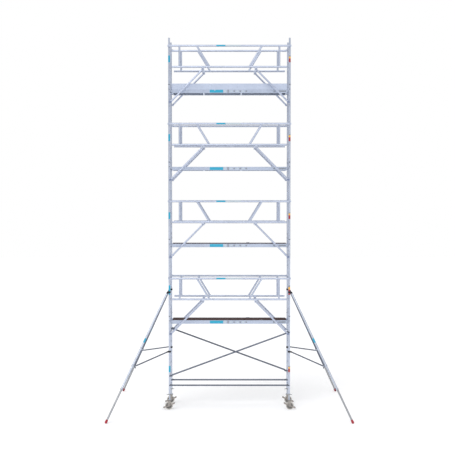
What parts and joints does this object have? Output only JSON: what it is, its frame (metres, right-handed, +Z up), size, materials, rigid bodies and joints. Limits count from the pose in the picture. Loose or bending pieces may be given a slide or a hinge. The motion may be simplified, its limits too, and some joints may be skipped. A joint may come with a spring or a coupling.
{
  "type": "mobile tower scaffold",
  "caption": "Narrow aluminium rolling access tower with ladder frames, hatch platforms, guardrail frames with folding struts, braces, outriggers and braked castors.",
  "frame": {"origin": "on the ground under the middle of the tower", "axes": "+X along the platforms towards the hatch end, +Y across them towards the hatch hinges, +Z up"},
  "size_m": [5.9784, 3.9182, 9.445],
  "materials": {
    "frame_tube": "mill-finish extruded tube with fine draw lines",
    "rail_tube": "mill-finish extruded tube, slightly brighter",
    "deck_beam": "extruded box beam, satin",
    "plywood": "phenolic film-faced birch plywood, mesh-printed top",
    "toe_board": "extruded aluminium board, satin",
    "brace_tube": "weathered tube, duller grey",
    "zinc_steel": "zinc-plated thread",
    "cast_nut": "zinc-plated casting",
    "castor_steel": "pressed steel, warm grey",
    "wheel_tyre": "grey non-marking tyre",
    "pedal_steel": "pressed steel, worn at the pads",
    "outrigger_tube": "weathered tube with black couplers",
    "foot_rubber": "moulded red rubber"
  },
  "bodies": {
    "tower": {"deck_frame_1": "deck_beam", "deck_frame_2": "deck_beam", "deck_frame_3": "deck_beam", "deck_frame_4": "deck_beam", "deck_panel_1": "plywood", "deck_panel_2": "plywood", "deck_panel_3": "plywood", "deck_panel_4": "plywood", "diagonal_braces": "brace_tube", "end_frames_1": "frame_tube", "end_frames_2": "frame_tube", "end_frames_3": "frame_tube", "end_frames_4": "frame_tube", "guardrails_1": "rail_tube", "guardrails_2": "rail_tube", "guardrails_3": "rail_tube", "guardrails_4": "rail_tube", "horizontal_braces": "brace_tube", "toe_boards": "toe_board", "top_end_frames": "frame_tube"},
    "guard_struts_left_1": {"guard_struts_left_1": "rail_tube"},
    "guard_struts_right_1": {"guard_struts_right_1": "rail_tube"},
    "trapdoor_1": {"trapdoor_1": "plywood"},
    "guard_struts_left_2": {"guard_struts_left_2": "rail_tube"},
    "guard_struts_right_2": {"guard_struts_right_2": "rail_tube"},
    "trapdoor_2": {"trapdoor_2": "plywood"},
    "guard_struts_left_3": {"guard_struts_left_3": "rail_tube"},
    "guard_struts_right_3": {"guard_struts_right_3": "rail_tube"},
    "trapdoor_3": {"trapdoor_3": "plywood"},
    "guard_struts_left_4": {"guard_struts_left_4": "rail_tube"},
    "guard_struts_right_4": {"guard_struts_right_4": "rail_tube"},
    "trapdoor_4": {"trapdoor_4": "plywood"},
    "jack_spindle_front_left": {"jack_spindle_front_left": "zinc_steel"},
    "jack_nut_front_left": {"jack_nut_front_left": "cast_nut"},
    "castor_yoke_front_left": {"castor_yoke_front_left": "castor_steel"},
    "castor_wheel_front_left": {"castor_wheel_front_left": "wheel_tyre"},
    "brake_pedal_front_left": {"brake_pedal_front_left": "pedal_steel"},
    "outrigger_leg_front_left": {"outrigger_leg_front_left": "outrigger_tube"},
    "outrigger_foot_front_left": {"outrigger_foot_front_left": "foot_rubber"},
    "jack_spindle_front_right": {"jack_spindle_front_right": "zinc_steel"},
    "jack_nut_front_right": {"jack_nut_front_right": "cast_nut"},
    "castor_yoke_front_right": {"castor_yoke_front_right": "castor_steel"},
    "castor_wheel_front_right": {"castor_wheel_front_right": "wheel_tyre"},
    "brake_pedal_front_right": {"brake_pedal_front_right": "pedal_steel"},
    "outrigger_leg_front_right": {"outrigger_leg_front_right": "outrigger_tube"},
    "outrigger_foot_front_right": {"outrigger_foot_front_right": "foot_rubber"},
    "jack_spindle_back_left": {"jack_spindle_back_left": "zinc_steel"},
    "jack_nut_back_left": {"jack_nut_back_left": "cast_nut"},
    "castor_yoke_back_left": {"castor_yoke_back_left": "castor_steel"},
    "castor_wheel_back_left": {"castor_wheel_back_left": "wheel_tyre"},
    "brake_pedal_back_left": {"brake_pedal_back_left": "pedal_steel"},
    "outrigger_leg_back_left": {"outrigger_leg_back_left": "outrigger_tube"},
    "outrigger_foot_back_left": {"outrigger_foot_back_left": "foot_rubber"},
    "jack_spindle_back_right": {"jack_spindle_back_right": "zinc_steel"},
    "jack_nut_back_right": {"jack_nut_back_right": "cast_nut"},
    "castor_yoke_back_right": {"castor_yoke_back_right": "castor_steel"},
    "castor_wheel_back_right": {"castor_wheel_back_right": "wheel_tyre"},
    "brake_pedal_back_right": {"brake_pedal_back_right": "pedal_steel"},
    "outrigger_leg_back_right": {"outrigger_leg_back_right": "outrigger_tube"},
    "outrigger_foot_back_right": {"outrigger_foot_back_right": "foot_rubber"}
  },
  "joints": [
    {"name": "fold_struts_left_1", "type": "hinge", "parent": "tower", "child": "guard_struts_left_1", "pos_m": [-0.671, 0, 2.77], "axis": [0, -1, 0], "range_deg": [0, 70]},
    {"name": "fold_struts_right_1", "type": "hinge", "parent": "tower", "child": "guard_struts_right_1", "pos_m": [0.671, 0, 2.77], "axis": [0, 1, 0], "range_deg": [0, 70]},
    {"name": "lift_trapdoor_1", "type": "hinge", "parent": "tower", "child": "trapdoor_1", "pos_m": [0.811, 0.274, 2.2813], "axis": [-1, 0, 0], "range_deg": [0, 90]},
    {"name": "fold_struts_left_2", "type": "hinge", "parent": "tower", "child": "guard_struts_left_2", "pos_m": [-0.671, 0, 4.73], "axis": [0, -1, 0], "range_deg": [0, 70]},
    {"name": "fold_struts_right_2", "type": "hinge", "parent": "tower", "child": "guard_struts_right_2", "pos_m": [0.671, 0, 4.73], "axis": [0, 1, 0], "range_deg": [0, 70]},
    {"name": "lift_trapdoor_2", "type": "hinge", "parent": "tower", "child": "trapdoor_2", "pos_m": [0.811, 0.274, 4.2413], "axis": [-1, 0, 0], "range_deg": [0, 90]},
    {"name": "fold_struts_left_3", "type": "hinge", "parent": "tower", "child": "guard_struts_left_3", "pos_m": [-0.671, 0, 6.69], "axis": [0, -1, 0], "range_deg": [0, 70]},
    {"name": "fold_struts_right_3", "type": "hinge", "parent": "tower", "child": "guard_struts_right_3", "pos_m": [0.671, 0, 6.69], "axis": [0, 1, 0], "range_deg": [0, 70]},
    {"name": "lift_trapdoor_3", "type": "hinge", "parent": "tower", "child": "trapdoor_3", "pos_m": [0.811, 0.274, 6.2013], "axis": [-1, 0, 0], "range_deg": [0, 90]},
    {"name": "fold_struts_left_4", "type": "hinge", "parent": "tower", "child": "guard_struts_left_4", "pos_m": [-0.671, 0, 8.65], "axis": [0, -1, 0], "range_deg": [0, 70]},
    {"name": "fold_struts_right_4", "type": "hinge", "parent": "tower", "child": "guard_struts_right_4", "pos_m": [0.671, 0, 8.65], "axis": [0, 1, 0], "range_deg": [0, 70]},
    {"name": "lift_trapdoor_4", "type": "hinge", "parent": "tower", "child": "trapdoor_4", "pos_m": [0.811, 0.274, 8.1613], "axis": [-1, 0, 0], "range_deg": [0, 90]},
    {"name": "jack_front_left", "type": "slide", "parent": "tower", "child": "jack_spindle_front_left", "axis": [0, 0, -1], "range_m": [0, 0.2]},
    {"name": "nut_front_left", "type": "hinge", "parent": "tower", "child": "jack_nut_front_left", "pos_m": [-1.525, -0.375, 0.388], "axis": [0, 0, 1], "continuous": true},
    {"name": "swivel_front_left", "type": "hinge", "parent": "jack_spindle_front_left", "child": "castor_yoke_front_left", "pos_m": [-1.525, -0.375, 0.25], "axis": [0, 0, 1], "continuous": true},
    {"name": "roll_front_left", "type": "hinge", "parent": "castor_yoke_front_left", "child": "castor_wheel_front_left", "pos_m": [-1.545, -0.375, 0.1], "axis": [0, 1, 0], "continuous": true},
    {"name": "brake_front_left", "type": "hinge", "parent": "castor_yoke_front_left", "child": "brake_pedal_front_left", "pos_m": [-1.545, -0.375, 0.1], "axis": [0, 1, 0], "range_deg": [0, 30]},
    {"name": "swing_front_left", "type": "hinge", "parent": "tower", "child": "outrigger_leg_front_left", "pos_m": [-1.525, -0.375, 1.485], "axis": [0, 0, 1], "range_deg": [-30, 30]},
    {"name": "extend_front_left", "type": "slide", "parent": "outrigger_leg_front_left", "child": "outrigger_foot_front_left", "axis": [-0.3839, -0.4161, -0.8243], "range_m": [-0.7, 0.25]},
    {"name": "jack_front_right", "type": "slide", "parent": "tower", "child": "jack_spindle_front_right", "axis": [0, 0, -1], "range_m": [0, 0.2]},
    {"name": "nut_front_right", "type": "hinge", "parent": "tower", "child": "jack_nut_front_right", "pos_m": [1.525, -0.375, 0.388], "axis": [0, 0, 1], "continuous": true},
    {"name": "swivel_front_right", "type": "hinge", "parent": "jack_spindle_front_right", "child": "castor_yoke_front_right", "pos_m": [1.525, -0.375, 0.25], "axis": [0, 0, 1], "continuous": true},
    {"name": "roll_front_right", "type": "hinge", "parent": "castor_yoke_front_right", "child": "castor_wheel_front_right", "pos_m": [1.545, -0.375, 0.1], "axis": [0, 1, 0], "continuous": true},
    {"name": "brake_front_right", "type": "hinge", "parent": "castor_yoke_front_right", "child": "brake_pedal_front_right", "pos_m": [1.545, -0.375, 0.1], "axis": [0, -1, 0], "range_deg": [0, 30]},
    {"name": "swing_front_right", "type": "hinge", "parent": "tower", "child": "outrigger_leg_front_right", "pos_m": [1.525, -0.375, 1.485], "axis": [0, 0, 1], "range_deg": [-30, 30]},
    {"name": "extend_front_right", "type": "slide", "parent": "outrigger_leg_front_right", "child": "outrigger_foot_front_right", "axis": [0.3839, -0.4161, -0.8243], "range_m": [-0.7, 0.25]},
    {"name": "jack_back_left", "type": "slide", "parent": "tower", "child": "jack_spindle_back_left", "axis": [0, 0, -1], "range_m": [0, 0.2]},
    {"name": "nut_back_left", "type": "hinge", "parent": "tower", "child": "jack_nut_back_left", "pos_m": [-1.525, 0.375, 0.388], "axis": [0, 0, 1], "continuous": true},
    {"name": "swivel_back_left", "type": "hinge", "parent": "jack_spindle_back_left", "child": "castor_yoke_back_left", "pos_m": [-1.525, 0.375, 0.25], "axis": [0, 0, 1], "continuous": true},
    {"name": "roll_back_left", "type": "hinge", "parent": "castor_yoke_back_left", "child": "castor_wheel_back_left", "pos_m": [-1.545, 0.375, 0.1], "axis": [0, 1, 0], "continuous": true},
    {"name": "brake_back_left", "type": "hinge", "parent": "castor_yoke_back_left", "child": "brake_pedal_back_left", "pos_m": [-1.545, 0.375, 0.1], "axis": [0, 1, 0], "range_deg": [0, 30]},
    {"name": "swing_back_left", "type": "hinge", "parent": "tower", "child": "outrigger_leg_back_left", "pos_m": [-1.525, 0.375, 1.485], "axis": [0, 0, 1], "range_deg": [-30, 30]},
    {"name": "extend_back_left", "type": "slide", "parent": "outrigger_leg_back_left", "child": "outrigger_foot_back_left", "axis": [-0.3839, 0.4161, -0.8243], "range_m": [-0.7, 0.25]},
    {"name": "jack_back_right", "type": "slide", "parent": "tower", "child": "jack_spindle_back_right", "axis": [0, 0, -1], "range_m": [0, 0.2]},
    {"name": "nut_back_right", "type": "hinge", "parent": "tower", "child": "jack_nut_back_right", "pos_m": [1.525, 0.375, 0.388], "axis": [0, 0, 1], "continuous": true},
    {"name": "swivel_back_right", "type": "hinge", "parent": "jack_spindle_back_right", "child": "castor_yoke_back_right", "pos_m": [1.525, 0.375, 0.25], "axis": [0, 0, 1], "continuous": true},
    {"name": "roll_back_right", "type": "hinge", "parent": "castor_yoke_back_right", "child": "castor_wheel_back_right", "pos_m": [1.545, 0.375, 0.1], "axis": [0, 1, 0], "continuous": true},
    {"name": "brake_back_right", "type": "hinge", "parent": "castor_yoke_back_right", "child": "brake_pedal_back_right", "pos_m": [1.545, 0.375, 0.1], "axis": [0, -1, 0], "range_deg": [0, 30]},
    {"name": "swing_back_right", "type": "hinge", "parent": "tower", "child": "outrigger_leg_back_right", "pos_m": [1.525, 0.375, 1.485], "axis": [0, 0, 1], "range_deg": [-30, 30]},
    {"name": "extend_back_right", "type": "slide", "parent": "outrigger_leg_back_right", "child": "outrigger_foot_back_right", "axis": [0.3839, 0.4161, -0.8243], "range_m": [-0.7, 0.25]}
  ],
  "couplings": [
    {"joint": "nut_front_left", "follows": "jack_front_left", "rad_per_m": 785.4},
    {"joint": "nut_front_right", "follows": "jack_front_right", "rad_per_m": 785.4},
    {"joint": "nut_back_left", "follows": "jack_back_left", "rad_per_m": 785.4},
    {"joint": "nut_back_right", "follows": "jack_back_right", "rad_per_m": 785.4}
  ]
}
